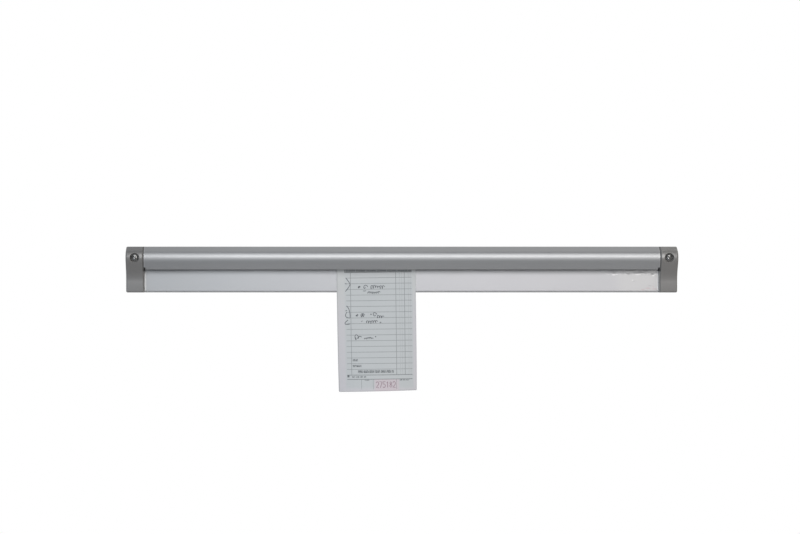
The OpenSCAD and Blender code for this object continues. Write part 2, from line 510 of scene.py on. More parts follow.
def anodised_aluminium():
    """Satin anodised extrusion: fine die lines along it, bare metal where it was sawn, and a worn plate,
    with painted shade and light at the lip, the caps, the foot and the left end.
    """
    f = material("anodised_aluminium")
    x, y, z = f.axes(f.place((1000, 1000, 1000)))
    lines = f.noise(f.place((5, 2400, 2400)), 1.0, 4)
    drift = f.noise(f.place((5, 26, 26)), 1.0, 2)
    smudge = f.noise(f.place((30, 60, 90)), 1.0, 5)
    plate = (z < LIP + 2) * y.within(-PLATE_REACH, -BACK)
    worn, residue, chips, stain = plate_wear(f, x, z, plate)
    haze = f.smooth(x, *HAZE) * plate
    # Painted shade: the rail darker towards its left end
    left_end_shade = 1 - f.smooth(x, *SHADED_LEFT_END)
    sawn = f.smooth(abs(x), CAP_FACE - END_GAP - 0.9, CAP_FACE - END_GAP - 0.2) * (z > LIP)
    # Painted shade on the lip's bead, reaching on down over the front faces below it
    lip_shade = (1 - f.smooth(z, LIP + 0.3, LIP + 2.4)) * (y < -BACK)
    shade = f.smooth(z, LIP - 6.7, LIP - 2.2) * plate * (0.6 - worn * 0.28)
    # Painted light on the plate beside each cap
    beside_cap_light = f.smooth(abs(x), CAP_FACE - 2.4, CAP_FACE - 0.4) * plate
    # Painted shade in the corner where the lip's notch meets each cap
    corner = f.spot(abs(x), z, CAP_FACE - 0.3, LIP - 0.3, 1.7, 1.9)
    # Painted light on the plate's foot chamfer
    chamfer = 1 - f.smooth(z, BOTTOM + 0.9, BOTTOM + 1.2)
    # Painted shade along the plate just above its foot chamfer
    foot_shade = f.smooth(z, BOTTOM + 0.5, BOTTOM + 1.1) * (1 - f.smooth(z, BOTTOM + 1.7, BOTTOM + 2.4))

    plate_tone = f.mix(smudge, colour(0.293, 0.304, 0.316), colour(0.329, 0.337, 0.348))
    # Painted falloff of light: the plate darker and cooler towards the left, lighter towards the right
    plate_tone = f.mix(f.smooth(x, *PLATE_LIGHT_FALLOFF), plate_tone, colour(0.425, 0.421, 0.437))
    tone = f.painted(
        f.mix(drift, colour(0.408, 0.412, 0.417), colour(0.442, 0.445, 0.449)),
        (lines * 0.22, colour(0.318, 0.32, 0.324)),
        (left_end_shade * 0.08, grey(0.1)),
        (lip_shade * 0.52, grey(0.2)),
        (plate * 0.75, plate_tone),
        (haze * 0.3, colour(0.47, 0.465, 0.45)),
        (residue * 0.27, colour(0.2, 0.2, 0.18)),
        (chips * 0.5, colour(0.8, 0.8, 0.79)),
        (beside_cap_light * 0.55, colour(0.8, 0.8, 0.79)),
        (foot_shade * 0.75, colour(0.2, 0.2, 0.205)),
        (chamfer * 0.5, colour(0.75, 0.75, 0.76)),
        (stain * 0.55, colour(0.42, 0.25, 0.27)),
        (sawn * 0.5, colour(0.8, 0.8, 0.81)),
        (corner * 0.7, grey(0.02)),
        (shade, colour(0.2, 0.205, 0.21)),
    )
    return f.surface(
        Base_Color=tone,
        Metallic=1.0 - residue * 0.6 - stain * 0.5,
        Roughness=0.43 + lines * 0.05 + smudge * 0.07 + residue * 0.2 + left_end_shade * 0.05 - plate * 0.1,
        Normal=f.bump(lines + residue * 0.5, 0.12, 0.00004),
    )


def across_screw(x):
    """How far to the right of the nearer screw's axis a place along the rail is."""
    return x - SCREW_X * (2 * (x > 0) - 1)


def moulded_plastic():
    """Mid-grey plastic with a fine spark-eroded grain, a little warmer and dirtier on the right cap, with
    painted shade on its top, inner edge, corner and round the screw, and painted light low down, on its
    inner side and in a highlight on the nose.
    """
    f = material("moulded_plastic")
    x, y, z = f.axes(f.place((1000, 1000, 1000)))
    grain = f.noise(f.place(), 2200, 3)
    cloud = f.noise(f.place(), 70, 4)
    mottle = f.noise(f.place(), 420, 3)
    right = x > 0
    across = across_screw(x)
    # Painted shade: the cap's top darker, most on the left cap
    top = f.smooth(z, 3, 9)
    # Painted light: the cap lighter low down, below the lip
    lower_light = 1 - f.smooth(z, LIP - 14, LIP - 1)
    under_lip = 1 - f.smooth(z, LIP - 2.5, LIP - 0.8)
    # Painted shade on the chamfer along the cap's inner edge, with some dirt, weaker below the lip
    seam_shade = (1 - f.smooth(abs(x), CAP_FACE + 1.2, CAP_FACE + 1.9)) * (1 - under_lip * 0.7)
    # Painted light: the cap's inner side lighter below the lip, where the plate reflects it
    inner_side = (abs(x) < CAP_FACE + 0.06) * under_lip
    # Painted shade in the corner under the lip
    corner = f.spot(abs(x), z, CAP_FACE - 0.1, LIP - 0.3, 1.7, 2.0)
    bore = COUNTERBORE + FLARE + 0.4
    # Painted shade round the counterbore, over its top and left side
    crescent_shade = f.smooth(z, -1, 2) | (f.smooth(-across, 1, 2) * f.smooth(z, -2.5, -0.5))
    crescent_shade = crescent_shade * f.spot(across, z, 0, 0, bore, bore)
    dirt = right * f.smooth(z, -4, 4) * f.smooth(mottle, 0.42, 0.62)
    # Painted highlight on the nose beside each cap's inner edge, stronger on the right cap
    nose_highlight = f.spot(abs(x), z, CAP_FACE + 3.5, 1.7, 2.7, 3.4) * (0.27 + right * 0.27)

    left_tone = f.mix(cloud, colour(0.14, 0.136, 0.132), colour(0.156, 0.152, 0.147))
    right_tone = f.mix(cloud, colour(0.162, 0.156, 0.148), colour(0.178, 0.169, 0.162))
    tone = f.painted(
        f.mix(right, left_tone, right_tone),
        (lower_light * 0.5, f.mix(right, grey(0.205), colour(0.186, 0.18, 0.175))),
        (top * 0.6, f.mix(right, grey(0.09), colour(0.13, 0.125, 0.119))),
        (dirt * 0.3, colour(0.26, 0.265, 0.25)),
        (seam_shade * 0.5, grey(0.05)),
        (inner_side, grey(0.36)),
        (crescent_shade * 0.8, grey(0.015)),
        (corner * 0.75, grey(0.015)),
        (nose_highlight, colour(0.5, 0.49, 0.48)),
    )
    return f.surface(
        Base_Color=tone,
        Roughness=0.29 + grain * 0.1 + seam_shade * 0.2 - inner_side * 0.2,
        Specular_IOR_Level=0.7,
        Normal=f.bump(grain, 0.25, 0.00006),
    )


def plated_steel():
    """Zinc plate, less shiny in patches, with painted shade in the cross recess and on the head's upper
    left, and painted light on one wing of the recess.
    """
    f = material("plated_steel")
    patch = f.noise(f.place(), 900, 4)
    x, depth, z = f.axes(f.place((1000, -1000, 1000)))
    across = across_screw(x)
    out = across * across + z * z
    dome = SEAT + HEAD_HEIGHT - HEAD_DOME + (HEAD_DOME ** 2 - out).root()
    in_recess = (out < (HEAD - 2 * HEAD_ROUND) ** 2) * (depth > SEAT + NECK)
    sunk = f.smooth(dome - depth, 0.12, 0.4) * in_recess
    lit_wing = (across * z > 0) * (z < 0)
    # Painted shade: the head's upper left, and the cross recess but for its lit wing, which is painted
    # light
    crescent_shade = f.smooth(-across, 1.0, 1.9) * f.smooth(z, -1.2, 0.4) * (depth > SEAT)
    dull_and_shaded = (sunk * (1 - lit_wing)) | crescent_shade
    tone = f.painted(
        f.mix(patch, colour(0.24, 0.24, 0.235), colour(0.4, 0.4, 0.395)),
        (dull_and_shaded * 0.9, grey(0.035)),
        (sunk * lit_wing, grey(0.6)),
    )
    return f.surface(
        Base_Color=tone,
        Metallic=1.0 - dull_and_shaded * 0.5,
        Roughness=0.2 + patch * 0.14,
        Normal=f.bump(patch, 0.2, 0.00003),
    )


def marble_glass():
    """Clear glass with a green cast and the faint ripples of a pressed marble."""
    f = material("marble_glass")
    ripple = f.noise(f.place(), 160, 2)
    tone = f.mix(ripple, colour(0.78, 0.93, 0.88), colour(0.88, 0.97, 0.94))
    return f.surface(
        Base_Color=tone,
        Roughness=0.03 + ripple * 0.04,
        IOR=1.5,
        Transmission_Weight=1.0,
        Normal=f.bump(ripple, 0.15, 0.0002),
    )


# Print on the ticket, in millimetres from its left and lower edges. It is turned a little on the sheet, by
# an angle in radians.
PRINT_TURN = 0.0035
PRINT_LEFT = 10.1
PRINT_RIGHT = 83.1
HEADER_FOOT = 131.4
HEADER_TOP = 137.4
HEADER_LEFT = PRINT_LEFT - 1.8
RULE_PITCH = 6.33
RULE_FIRST = 24.45
RULES = 17
RULE_WIDTH = 0.6
RULE_LAST = RULE_FIRST + (RULES - 1) * RULE_PITCH
THICK_RULE = 18.1
FOOT_RULE = 13.4
THICK_WIDTH = 0.7
COLUMNS = (15.2, 65.4, 75)
COLUMN_WIDTH = 0.6
FAINT_COLUMNS = (69.6, 72, 79.3, 81.6)
FAINT_WIDTH = 0.3
DASH = 0.9
DASH_PITCH = 1.6
BOX_SIDES = (25.9, 39, 65.1)
BOX_WIDTH = 0.4
BOX_FOOT = 2.4
NUMBER_PANEL = (39, 66)
# A small block: its middle and width across the ticket, and its lower and upper edge
BLOCK_ACROSS = (11.4, 2.3)
BLOCK_UP = (15.7, 18)
# Rows of blots in place of words: lower, upper, left and right edge, then the blots' pitch and gap
WORD_ROWS = (
    (33.3, 35.7, 16.4, 22.4, 3.1, 0.4),
    (27.0, 29.3, 16.4, 26.2, 4.1, 0.4),
    (20.3, 23.3, 22.2, 62.2, 6.3, 0.6),
    (15.4, 16.7, 15.5, 31.2, 4.4, 0.9),
    (11.8, 12.8, 29.2, 35.2, 3.0, 0.6),
    (11.6, 12.8, 68.7, 79.7, 3.6, 0.7),
)
# Light gaps in the header bar
GAP_FROM = 9
GAP_PITCH = 11.5
GAP = 0.9


def stripes(value, middles, width):
    """Parallel lines of one width round several middles."""
    return any_of([abs(value - middle) < width / 2 for middle in middles])


def form_print(f, across, up):
    """How much ink lies at a place of the ticket: rules, columns, boxes, a header bar and rows of blots."""
    sheet = f.node("CombineXYZ", None, {"X": across, "Y": up})
    wobble = f.noise(sheet, 0.7, 3)
    blot = f.smooth(f.noise(sheet, 1.1, 1), 0.36, 0.58) * 0.8 + 0.2
    printed = across.within(PRINT_LEFT, PRINT_RIGHT)
    rules = abs(((up - RULE_FIRST) / RULE_PITCH + 0.5) % 1.0 - 0.5) < RULE_WIDTH / 2 / RULE_PITCH
    rules = rules * up.within(RULE_FIRST - 1, RULE_LAST + 1) * printed
    column_zone = up.within(THICK_RULE, HEADER_FOOT)
    columns = stripes(across, COLUMNS, COLUMN_WIDTH) * column_zone
    faint = stripes(across, FAINT_COLUMNS, FAINT_WIDTH) * column_zone * ((up % DASH_PITCH) < DASH)
    thick = stripes(up, (THICK_RULE, FOOT_RULE), THICK_WIDTH) * printed
    boxes = stripes(across, BOX_SIDES, BOX_WIDTH) * up.within(BOX_FOOT, FOOT_RULE)
    words = []
    for low, high, left, right, pitch, gap in WORD_ROWS:
        bars = ((across - left) % pitch) < pitch - gap
        words.append(up.within(low, high) * across.within(left, right) * bars * blot)
    block_middle, block_width = BLOCK_ACROSS
    words.append(stripes(across, [block_middle], block_width) * up.within(*BLOCK_UP))
    header = up.within(HEADER_FOOT, HEADER_TOP) * across.within(HEADER_LEFT, PRINT_RIGHT)
    gaps = up.within(HEADER_FOOT + 1.1, HEADER_TOP - 1.5) * (((across - GAP_FROM) % GAP_PITCH) < GAP)
    ink = any_of([
        rules * 0.5,
        columns * 0.55,
        faint * 0.42,
        thick * 0.72,
        boxes * 0.62,
        any_of(words) * 0.9,
        header * (1 - gaps * 0.5) * 0.55,
    ])
    return ink * (0.5 + wobble * 0.95)


def ticket_paper():
    """Pale blue-grey form paper, lighter in its margins, with painted light towards its top against the
    lip's shadow, painted shade along its edges and a tinted number panel.
    """
    f = material("ticket_paper")
    u, v, _ = f.axes(f.node("UVMap"))
    from_left = u * TICKET_WIDTH
    from_foot = v * TICKET_LENGTH
    across = from_left - PRINT_TURN * (from_foot - TICKET_LENGTH / 2)
    up = from_foot + PRINT_TURN * (from_left - TICKET_WIDTH / 2)
    fibre = f.noise(f.place(), 1800, 4)
    cloud = f.noise(f.place(), 35, 3)
    inside = f.smooth(across, PRINT_LEFT - 3, PRINT_LEFT)
    inside = inside * (1 - f.smooth(across, PRINT_RIGHT, PRINT_RIGHT + 2)) * f.smooth(up, 1, 6)
    left, right = NUMBER_PANEL
    panel = f.smooth(across, left, left + 3) * (1 - f.smooth(across, right, right + 4)) * (up < FOOT_RULE)
    left_edge = 1 - f.smooth(from_left, 0.7, 1.5)
    right_edge = f.smooth(from_left, TICKET_WIDTH - 1.1, TICKET_WIDTH - 0.6)
    foot_edge = 1 - f.smooth(from_foot + TICKET_SKEW * (1 - 2 * u), 0.6, 1.2)
    # Painted shade along the ticket's left, right and lower edges
    edge_shade = any_of([left_edge * 0.3, right_edge * 0.15, foot_edge * 0.3])

    margin = f.mix(cloud, colour(0.52, 0.512, 0.53), colour(0.545, 0.537, 0.556))
    margin = f.mix(f.smooth(up, 70, 125), margin, colour(0.518, 0.53, 0.527))
    tone = f.painted(
        margin,
        (inside, f.mix(cloud, colour(0.478, 0.499, 0.505), colour(0.501, 0.52, 0.527))),
        # Painted light: the paper lighter just under the lip, against the lip's shadow
        (f.smooth(up, 116, 131) * 0.5, colour(0.72, 0.735, 0.735)),
        (panel * 0.7, colour(0.57, 0.49, 0.524)),
        (form_print(f, across, up), colour(0.085, 0.095, 0.1)),
        (edge_shade, colour(0.19, 0.2, 0.2)),
    )
    return f.surface(
        Base_Color=tone,
        Roughness=0.72 + fibre * 0.12,
        Normal=f.bump(fibre, 0.25, 0.00006),
    )


def pen_ink(name, dark, pale):
    """Ink that is thinner in places along the stroke."""
    f = material(name)
    flow = f.noise(f.place(), 700, 3)
    return f.surface(Base_Color=f.mix(flow, dark, pale), Roughness=0.45 + flow * 0.2)


def rail_outline():
    """The extrusion's side outline: back plate, hood and the bead along its lip."""
    channel = NOSE_RADIUS - HOOD_WALL
    bead = lower_wall((channel + NOSE_RADIUS) / 2, LIP + BEAD)
    meet = math.degrees(math.acos(HOOD_WALL / 2 / BEAD))
    return (
        [
            Vector((0, BOTTOM)),
            Vector((PLATE - PLATE_CHAMFER, BOTTOM)),
            Vector((PLATE, BOTTOM + PLATE_CHAMFER)),
            Vector((PLATE, TOP - HOOD_WALL)),
            top_wall(channel, TOP - HOOD_WALL),
        ]
        + front(channel)
        + arc(bead, BEAD, 180 + LOWER_FACES - meet, 360 + LOWER_FACES + meet, BEAD_STEPS)
        + front(NOSE_RADIUS)[::-1]
        + [top_wall(NOSE_RADIUS, TOP), Vector((0, TOP))]
    )


def extruding_tree():
    """A shape tree that draws a flat outline out along X and closes both ends."""
    tree = bpy.data.node_groups.new("draw_out_extrusion", "GeometryNodeTree")
    for name, kind in (
        ("Outline", "NodeSocketGeometry"),
        ("Length", "NodeSocketFloat"),
        ("Finish", "NodeSocketMaterial"),
    ):
        tree.interface.new_socket(name, in_out="INPUT", socket_type=kind)
    tree.interface.new_socket("Extrusion", in_out="OUTPUT", socket_type="NodeSocketGeometry")
    made = {}
    for name, kind in (
        ("given", "NodeGroupInput"),
        ("along", "ShaderNodeCombineXYZ"),
        ("draw", "GeometryNodeExtrudeMesh"),
        ("turn", "GeometryNodeFlipFaces"),
        ("both", "GeometryNodeJoinGeometry"),
        ("weld", "GeometryNodeMergeByDistance"),
        ("real", "GeometryNodeRealizeInstances"),
        ("paint", "GeometryNodeSetMaterial"),
        ("result", "NodeGroupOutput"),
    ):
        made[name] = tree.nodes.new(kind)
    made["draw"].mode = "FACES"
    made["draw"].inputs["Individual"].default_value = False
    made["draw"].inputs["Offset Scale"].default_value = 1
    made["weld"].inputs["Distance"].default_value = WELD
    for source, output, target, given in (
        ("given", "Length", "along", "X"),
        ("given", "Outline", "draw", "Mesh"),
        ("along", "Vector", "draw", "Offset"),
        ("given", "Outline", "turn", "Mesh"),
        ("draw", "Mesh", "both", "Geometry"),
        ("turn", "Mesh", "both", "Geometry"),
        ("both", "Geometry", "weld", "Geometry"),
        ("weld", "Geometry", "real", "Geometry"),
        ("real", "Geometry", "paint", "Geometry"),
        ("given", "Finish", "paint", "Material"),
        ("paint", "Geometry", "result", "Extrusion"),
    ):
        tree.links.new(made[source].outputs[output], made[target].inputs[given])
    return tree


def set_input(modifier, name, value):
    for item in modifier.node_group.interface.items_tree:
        if item.item_type == "SOCKET" and item.in_out == "INPUT" and item.name == name:
            modifier[item.identifier] = value


def notch_tool(x):
    """A block that takes the corner off the lip at one end of the rail."""
    low = Vector((NOSE.x, LIP - THROUGH))
    high = Vector((NOSE.x + NOSE_RADIUS, LIP + LIP_NOTCH_HEIGHT))
    outline = [low, Vector((high.x, low.y)), high, Vector((low.x, high.y))]
    reach = (LIP_NOTCH + END_GAP) / 2
    return bar(outline, x - reach, x + reach)


def rail(finish):
    """The extrusion between the caps, with its edges eased and its lip notched at both ends."""
    end = CAP_FACE - END_GAP
    mesh = bmesh.new()
    outline = [mesh.verts.new(stand(-end, point) * MM) for point in rail_outline()]
    face = mesh.faces.new(outline)
    face.normal_update()
    if face.normal.x < 0:
        face.normal_flip()
    made = piece("rail", mesh)
    drawn = made.modifiers.new("drawn", "NODES")
    drawn.node_group = extruding_tree()
    set_input(drawn, "Length", 2 * end * MM)
    set_input(drawn, "Finish", finish)
    lip_ends = [notch_tool(side * (end - LIP_NOTCH / 2)) for side in (-1, 1)]
    carved(settled(made), lip_ends)
    edge = made.modifiers.new("edge", "BEVEL")
    edge.width = EDGE_ROUND * MM
    edge.segments = 2
    edge.angle_limit = math.radians(60)
    edge.use_clamp_overlap = False
    return smoothed(settled(made), 20)


def cap_outline(inset, back=0.0, ends=None):
    """A cap's side outline, drawn in by an inset at its front and by another at its top and foot."""
    ends = inset if ends is None else ends
    r = CAP_NOSE_RADIUS - inset
    foot = Vector((CAP_FOOT - inset, BOTTOM + ends))
    foot_round = max(CAP_FOOT_ROUND - inset, LEAST_ROUND)
    blend = CAP_BLEND + inset
    lean = -LOWER_FACES
    corner = lower_wall_at_depth(r, foot.x)
    centre = Vector((foot.x + blend, corner.y - blend * math.tan(math.radians(lean / 2))))
    return (
        [Vector((back, foot.y))]
        + arc(foot + Vector((-foot_round, foot_round)), foot_round, 270, 360, CAP_FOOT_STEPS)
        + arc(centre, blend, 180, 180 - lean, CAP_BLEND_STEPS)
        + front(r)[::-1]
        + [top_wall(r, TOP - ends), Vector((back, TOP - ends))]
    )


def plug_outline(inset):
    """The hood's channel as a side outline, drawn in by an inset and cut off level above the lip."""
    r = NOSE_RADIUS - HOOD_WALL - inset
    low = LIP + 2 * BEAD + inset
    high = TOP - HOOD_WALL - inset
    back = PLATE + inset
    shoulder = top_wall(r, high)
    if shoulder.x < back:
        upper = [top_wall_at_depth(r, back)]
    else:
        upper = [shoulder, Vector((back, high))]
    return [Vector((back, low)), lower_wall(r, low)] + front(r)[::-1] + upper


def cap_places():
    """Places along a cap from its outer end, with the insets there of its front and of its top and foot."""
    places = []
    for k in range(CAP_ROUND_STEPS + 1):
        turn = math.pi / 2 * k / CAP_ROUND_STEPS
        inset = CAP_OUTER_ROUND * (1 - math.sin(turn))
        places.append((CAP_OUTER_ROUND * (1 - math.cos(turn)), inset, inset))
    places.append((CAP_OUTER_ROUND + CAP_ROUND_HOLD, 0, 0))
    for short, share, end_inset in CAP_INNER_RINGS:
        places.append((CAP_LENGTH - short, CAP_CHAMFER * share, end_inset))
    return places


def nose_depth(radius, angle):
    """How far in front of the wall the cap's skin lies at a place round the screw."""
    rise = radius * math.sin(angle) - NOSE.y
    centre, r = (NOSE, CAP_NOSE_RADIUS) if rise > 0 else (BELLY, CAP_NOSE_RADIUS + BELLY_MORE)
    return centre.x + math.sqrt(r ** 2 - rise ** 2)


def counterbore_tool(x):
    """The screw's dished recess, with a rounded rim that follows the nose."""
    rim = COUNTERBORE + FLARE - 0.1

    def skin(radius, sink):
        return lambda angle: nose_depth(radius, angle) - sink

    profile = [(COUNTERBORE, SEAT)]
    for k in range(RIM_STEPS + 1):
        turn = math.pi / 2 * k / RIM_STEPS
        radius = rim + RIM_ROUND * (1 - math.cos(turn))
        profile.append((radius, skin(radius, RIM_ROUND * (1 - math.sin(turn)) - RIM_LIFT)))
    profile.append((rim + RIM_ROUND + 0.05, NOSE.x + CAP_NOSE_RADIUS + 5))
    return turned(x, profile, RIM_SIDES)


def rib_outline():
    """The rib across a cap's hollow as a side outline, longer than the cap is deep."""
    low = -CAP_RIB_DROP - CAP_RIB / 2
    high = low + CAP_RIB
    return [Vector((BEHIND, low)), Vector((BEYOND, low)), Vector((BEYOND, high)), Vector((BEHIND, high))]


def end_cap(name, side):
    """A cap for one end; side is -1 for the left and 1 for the right."""
    outer = side * RAIL_LENGTH / 2
    face = side * CAP_FACE
    screw_x = side * SCREW_X
    rings = []
    for x, inset, ends in cap_places():
        rings.append([stand(outer - side * x, point) for point in cap_outline(inset, ends=ends)])
    cap = lofted(name, rings)
    plug = bar(plug_outline(PLUG_CLEARANCE), face + side * THROUGH, face - side * PLUG_LENGTH)
    carved(cap, [plug], "UNION")
    hollow = bar(cap_outline(CAP_WALL, -THROUGH), outer - side * CAP_WALL, face + side * CAP_WALL)
    boss = COUNTERBORE + FLARE + BOSS_WALL
    carved(hollow, [
        turned(screw_x, [(HOLE + BOSS_WALL, BEHIND), (HOLE + BOSS_WALL, SEAT)]),
        turned(screw_x, [(boss, SEAT - SEAT_FLOOR), (boss, BEYOND)]),
        bar(rib_outline(), outer, face),
    ])
    core_ends = (face + side * (CAP_WALL + THROUGH), face - side * (PLUG_LENGTH - PLUG_WALL))
    core = bar(plug_outline(PLUG_CLEARANCE + PLUG_WALL), *core_ends)
    hole = turned(screw_x, [(HOLE, -THROUGH), (HOLE, SEAT + THROUGH)])
    carved(cap, [hollow, core, counterbore_tool(screw_x), hole])
    return smoothed(cap, 28)


def screw_head():
    """The head's outline, as (radius, height over the seat), from its middle out and back under it."""
    dome_turn = math.asin((HEAD - HEAD_ROUND) / HEAD_DOME)
    rows = []
    for k in range(HEAD_STEPS + 1):
        turn = dome_turn * k / HEAD_STEPS
        rows.append((HEAD_DOME * math.sin(turn), HEAD_HEIGHT - HEAD_DOME * (1 - math.cos(turn))))
    shoulder = rows[-1][1]
    return rows + [
        (HEAD - 0.1, shoulder - 0.2),
        (HEAD, shoulder - 0.5),
        (HEAD, HEAD_FOOT),
        (HEAD - HEAD_FOOT, 0),
        (SHANK + NECK, 0),
        (SHANK, -NECK),
    ]


def thread_radius(back, angle):
    """The shank's radius at a distance behind the seat: plain in the cap, threaded in the wall."""
    taper = min(1.0, max(TIP_SHARE, (SCREW_LENGTH - back) / TIP_LENGTH))
    phase = (back / THREAD_PITCH - angle / (2 * math.pi)) % 1.0
    ridge = max(0.0, 1 - abs(phase - 0.5) / RIDGE_SHARE)
    start = min(1.0, max(0.0, (back - SEAT) / THREAD_PITCH))
    return (SHANK + (THREAD - SHANK) * ridge * start) * taper


def screw(name, x, turn):
    """A pan-head screw with a cross recess and a helical thread, seated in its cap."""
    angles = [2 * math.pi * k / SCREW_SIDES for k in range(SCREW_SIDES)]
    loops = [[(radius, out, a) for a in angles] for radius, out in screw_head()]
    for step in range(SCREW_STEPS + 1):
        back = SHANK_FROM + (SCREW_LENGTH - SHANK_FROM) * step / SCREW_STEPS
        loops.append([(thread_radius(back, a), -back, a) for a in angles])
    rings = []
    for loop in loops:
        ring = []
        for radius, out, a in loop:
            r = max(radius, POINT)
            ring.append(Vector((x + r * math.cos(a), -SEAT - out, r * math.sin(a))))
        rings.append(ring)
    made = lofted(name, rings)
    carved(made, [recess_tool(x, turn), recess_tool(x, turn + 90)])
    return smoothed(made, 32)


def recess_tool(x, turn):
    """One wing of the cross recess, narrower and shorter towards its foot."""
    spin = Matrix.Rotation(math.radians(turn), 3, "Y")
    rings = []
    for share, half, depth in RECESS_LAYERS:
        length = RECESS_HALF * share
        middle = Vector((x, depth - SEAT - HEAD_HEIGHT, 0))
        corners = [(-length, -half), (length, -half), (length, half), (-length, half)]
        rings.append([middle + spin @ Vector((a, 0, b)) for a, b in corners])
    return lofted("tool", rings)


def marble(name):
    """A glass marble in its CAD node's place."""
    low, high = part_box(name)
    mesh = bmesh.new()
    bmesh.ops.create_icosphere(mesh, subdivisions=4, radius=MARBLE / 2 * MM)
    bmesh.ops.translate(mesh, verts=mesh.verts, vec=(low + high) / 2)
    return smoothed(piece(name.replace("marble", "glass_marble"), mesh), 80)


def on_ticket(u, v, lift):
    """A point of the hanging ticket, from distances across it and down it, raised off its face."""
    free = max(0.0, (v - TICKET_HELD) / (TICKET_LENGTH - TICKET_HELD))
    across = 2 * u / TICKET_WIDTH - 1
    bow = TICKET_BOW * free ** 1.5
    ripple = TICKET_RIPPLE * free * math.sin(v / RIPPLE_LENGTH + across * RIPPLE_SLANT)
    # A bowed sheet is narrower than a flat one, by the rule for the length of a shallow arc.
    x = (u - TICKET_WIDTH / 2) * (1 - 8 / 3 * (bow / TICKET_WIDTH) ** 2)
    turn = math.radians(TICKET_TURN)
    return Vector((
        TICKET_X + x * math.cos(turn) + v * math.sin(turn),
        -TICKET_DEPTH - bow * (1 - across ** 2) - ripple * free - lift,
        TICKET_TOP + x * math.sin(turn) - v * math.cos(turn),
    ))


def ticket_foot(u):
    """How far down the ticket reaches at a place across it: torn a little askew, with rounded corners."""
    near = max(0.0, TICKET_CORNER - min(u, TICKET_WIDTH - u))
    askew = TICKET_SKEW * (1 - 2 * u / TICKET_WIDTH)
    return TICKET_LENGTH + askew - TICKET_CORNER + math.sqrt(TICKET_CORNER ** 2 - near ** 2)


def ticket_columns():
    """Distances across the ticket, close together at its rounded corners."""
    turns = [math.pi / 2 * k / TICKET_CORNER_STEPS for k in range(TICKET_CORNER_STEPS + 1)]
    corner = [TICKET_CORNER * (1 - math.cos(turn)) for turn in turns]
    step = (TICKET_WIDTH - 2 * TICKET_CORNER) / TICKET_COLUMNS
    body = [TICKET_CORNER + step * k for k in range(1, TICKET_COLUMNS)]
    return corner + body + [TICKET_WIDTH - u for u in reversed(corner)]


def ticket_sheet():
    """The ticket as a thin closed sheet. Its back and rim take their colour from a place with no print."""
    columns = ticket_columns()
    rows = TICKET_ROWS
    mesh = bmesh.new()
    layer = mesh.loops.layers.uv.new("print")
    rims = []
    for lift in (TICKET_THICKNESS / 2, -TICKET_THICKNESS / 2):
        spots = [[(u, ticket_foot(u) * j / rows) for j in range(rows + 1)] for u in columns]
        grid = [[mesh.verts.new(on_ticket(u, v, lift) * MM) for u, v in column] for column in spots]
        for i in range(len(columns) - 1):
            for j in range(rows):
                corners = [(i, j), (i, j + 1), (i + 1, j + 1), (i + 1, j)]
                face = mesh.faces.new([grid[a][b] for a, b in corners])
                for loop, (a, b) in zip(face.loops, corners):
                    u, v = spots[a][b]
                    if lift > 0:
                        loop[layer].uv = (u / TICKET_WIDTH, 1 - v / TICKET_LENGTH)
                    else:
                        blank_u = BLANK_U - BLANK_SIZE * u / TICKET_WIDTH
                        loop[layer].uv = (blank_u, BLANK_V + BLANK_SIZE * v / TICKET_LENGTH)
        rim = [column[0] for column in grid] + grid[-1][1:] + [column[-1] for column in reversed(grid[:-1])]
        rims.append(rim + grid[0][-2:0:-1])
    front_rim, back_rim = rims
    for k in range(len(front_rim)):
        n = (k + 1) % len(front_rim)
        face = mesh.faces.new((front_rim[k], front_rim[n], back_rim[n], back_rim[k]))
        for loop in face.loops:
            loop[layer].uv = (BLANK_U, BLANK_V)
    bmesh.ops.recalc_face_normals(mesh, faces=mesh.faces)
    return smoothed(piece("ticket_sheet", mesh), 40)


def curved(points, steps=5):
    """A smooth line through the points of a stroke, by the Catmull-Rom rule."""
    line = []
    for k in range(len(points) - 1):
        a = points[max(k - 1, 0)]
        b = points[k]
        c = points[k + 1]
        d = points[min(k + 2, len(points) - 1)]
        for step in range(steps):
            t = step / steps
            line.append(0.5 * (2 * b + (c - a) * t + (2 * a - 5 * b + 4 * c - d) * t ** 2
                               + (3 * b - a - 3 * c + d) * t ** 3))
    return line + [points[-1]]


def ribbons(name, strokes, width):
    """Flat strokes of ink that lie on the ticket's face."""
    mesh = bmesh.new()
    for stroke in strokes:
        edges = []
        for k, point in enumerate(stroke):
            ahead = stroke[min(k + 1, len(stroke) - 1)]
            behind = stroke[max(k - 1, 0)]
            run = (ahead - behind).normalized()
            side = Vector((-run.y, run.x)) * width / 2
            edges.append([
                mesh.verts.new(on_ticket(*(point + sign * side), TICKET_THICKNESS / 2 + INK_LIFT) * MM)
                for sign in (-1, 1)
            ])
        for near, far in zip(edges, edges[1:]):
            mesh.faces.new((near[0], far[0], far[1], near[1]))
    bmesh.ops.recalc_face_normals(mesh, faces=mesh.faces)
    made = piece(name, mesh)
    thick = made.modifiers.new("thick", "SOLIDIFY")
    thick.thickness = INK_THICKNESS * MM
    thick.offset = 0
    return settled(made)


# The loops of a squiggle: their sizes and widths as shares of its height, the slant of their sides, the
# points on each and how far the line under them sways
LOOP_SIZES = (0.45, 1.0)
LOOP_LEANS = (-0.35, 0.35)
LOOP_WIDTH = 0.22
LOOP_STEPS = 10
LINE_SWAY = 0.3


